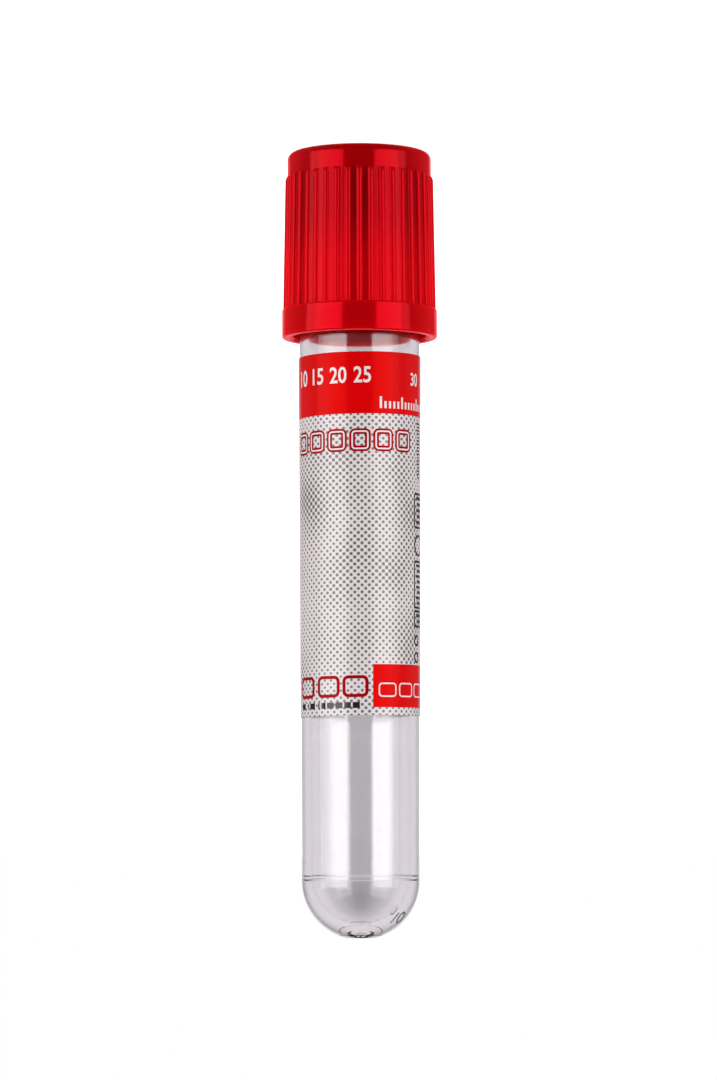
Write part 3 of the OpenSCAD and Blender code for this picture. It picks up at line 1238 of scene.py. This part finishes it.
white_marks = [draw_number(number, middle * MM, 1.6 * MM, 3.3 * MM) for number, middle in scale_numbers]
white_marks.append(draw_number("30", -6.9 * MM, 2.05 * MM, 3.4 * MM))
for tick in range(15):
    height = 1.25 if tick % 5 == 0 else 0.75
    right = tick_start - tick_pitch * tick
    white_marks.append(in_mm(draw_bar, right - tick_width, right, tick_end - height, tick_end))
for left, right in row_of_frames:
    white_marks.append(in_mm(draw_frame, right + 0.23, left - 0.23, 8.43, 10.42, 0.16, 0.37))
for left in (-1.95, -4.4, -6.85, -9.3):
    white_marks.append(in_mm(draw_frame, left - 2.1, left, 35.1, 36.6, 0.15, 0.4))
wrap_print("white_print", white_marks, white_ink, ink_gap + 2 * ink_thickness)

# %% [markdown]
# Small black print runs along one side of a real label. At this size it reads as a texture of
# short lines, so it is rows of bars, some of them in frames, and a few small rings. On the back,
# five thin lines mark how full the tube is.

# %% The black print
words = ((8.0, 7.2), (6.6, 6.45), (6.2, 5.4), (4.9, 4.7), (4.45, 3.9), (3.7, 2.9), (2.7, 1.9),
         (1.7, 1.0), (0.8, 0.05))
framed_rows = ((14.8, 18.6, 5), (22.0, 27.15, 8), (27.3, 29.15, 2))  # low, high, bars
rings = ((19.25, 2.3), (29.95, 1.2), (31.75, 1.2))  # low, size
small_line = 0.24

black_marks = [in_mm(draw_bar, right, left, 37.12, 37.75) for left, right in words]
for line in range(17):
    start, end = 7.3 + 0.36 * line, 7.47 + 0.36 * line
    black_marks.append(in_mm(draw_bar, -8.5, -7.6 - 0.25 * (line % 3 == 1), start, end))
for low, high, bars in framed_rows:
    black_marks.append(in_mm(draw_frame, -9.8, -6.95, low, high, small_line, 0.3))
    pitch = (high - low - 0.6) / bars
    for bar in range(bars):
        start = low + 0.4 + bar * pitch
        black_marks.append(in_mm(draw_bar, -9.2, -7.5 - 0.2 * (bar % 2), start, start + 0.55 * pitch))
for low, size in rings:
    black_marks.append(in_mm(draw_frame, -7.0 - size, -7.0, low, low + size, small_line, 0.45 * size))
for line in range(5):
    black_marks.append(in_mm(draw_bar, 11.5, 17.3, 12 + 4 * line, 12.12 + 4 * line))
wrap_print("black_print", black_marks, black_ink, ink_gap)

# %% [markdown]
# ## The mould's mark
#
# Beside the gate the mould has left a small mark on the dome: here a plain ring and a bar, raised
# by about a tenth of a millimetre, which only show as fine lines in the clear plastic. Both are
# made flat as thin wire, a circle spun to a ring and a slim cylinder, and one matrix then lays
# them on the dome. Half of each wire sinks into the plastic.

# %% A mark on the dome
wire_r, wire_sides, hoop_steps = 0.09 * MM, 8, 24
hoop_r, hoop_stretch, hoop_place = 0.45 * MM, 1.7, -0.6 * MM
bar_length, bar_place, bar_lean = 1.6 * MM, 0.55 * MM, math.radians(-15)
upright = Matrix.Rotation(math.pi / 2, 4, "X")

mark_bm = bmesh.new()
bmesh.ops.create_circle(mark_bm, segments=wire_sides, radius=wire_r,
                        matrix=Matrix.Translation((hoop_r, 0, 0)) @ upright)
bmesh.ops.spin(mark_bm, geom=mark_bm.verts[:] + mark_bm.edges[:], cent=(0, 0, 0), axis=(0, 0, 1),
               angle=math.tau, steps=hoop_steps, use_merge=True)
bmesh.ops.transform(mark_bm, verts=mark_bm.verts[:], matrix=(
    Matrix.Translation((hoop_place, 0, 0)) @ Matrix.Diagonal((1.0, hoop_stretch, 1, 1))))
bmesh.ops.create_cone(mark_bm, cap_ends=True, segments=wire_sides, radius1=wire_r, radius2=wire_r,
                      depth=bar_length, matrix=(Matrix.Translation((bar_place, 0, 0))
                                                @ Matrix.Rotation(bar_lean, 4, "Z") @ upright))
close_shell(mark_bm)
print("mark:", len(mark_bm.faces), "faces")

# %% Lay the mark on the dome
mark_turn, mark_rise, mark_size = math.radians(-52.5), math.radians(38.3), 0.88
place = (Matrix.Translation((0, 0, dome_z)) @ Matrix.Rotation(mark_turn, 4, "Z")
         @ Matrix.Rotation(-mark_rise, 4, "X") @ Matrix.Translation((0, -end_r, 0))
         @ upright @ Matrix.Diagonal((mark_size, mark_size, 1, 1)))
bmesh.ops.transform(mark_bm, verts=mark_bm.verts[:], matrix=place)
# The mark's plastic carries the painted shade of its dark lines.
add_piece(mark_bm, "mould_mark", "tube_body", [shaded_mark_plastic])
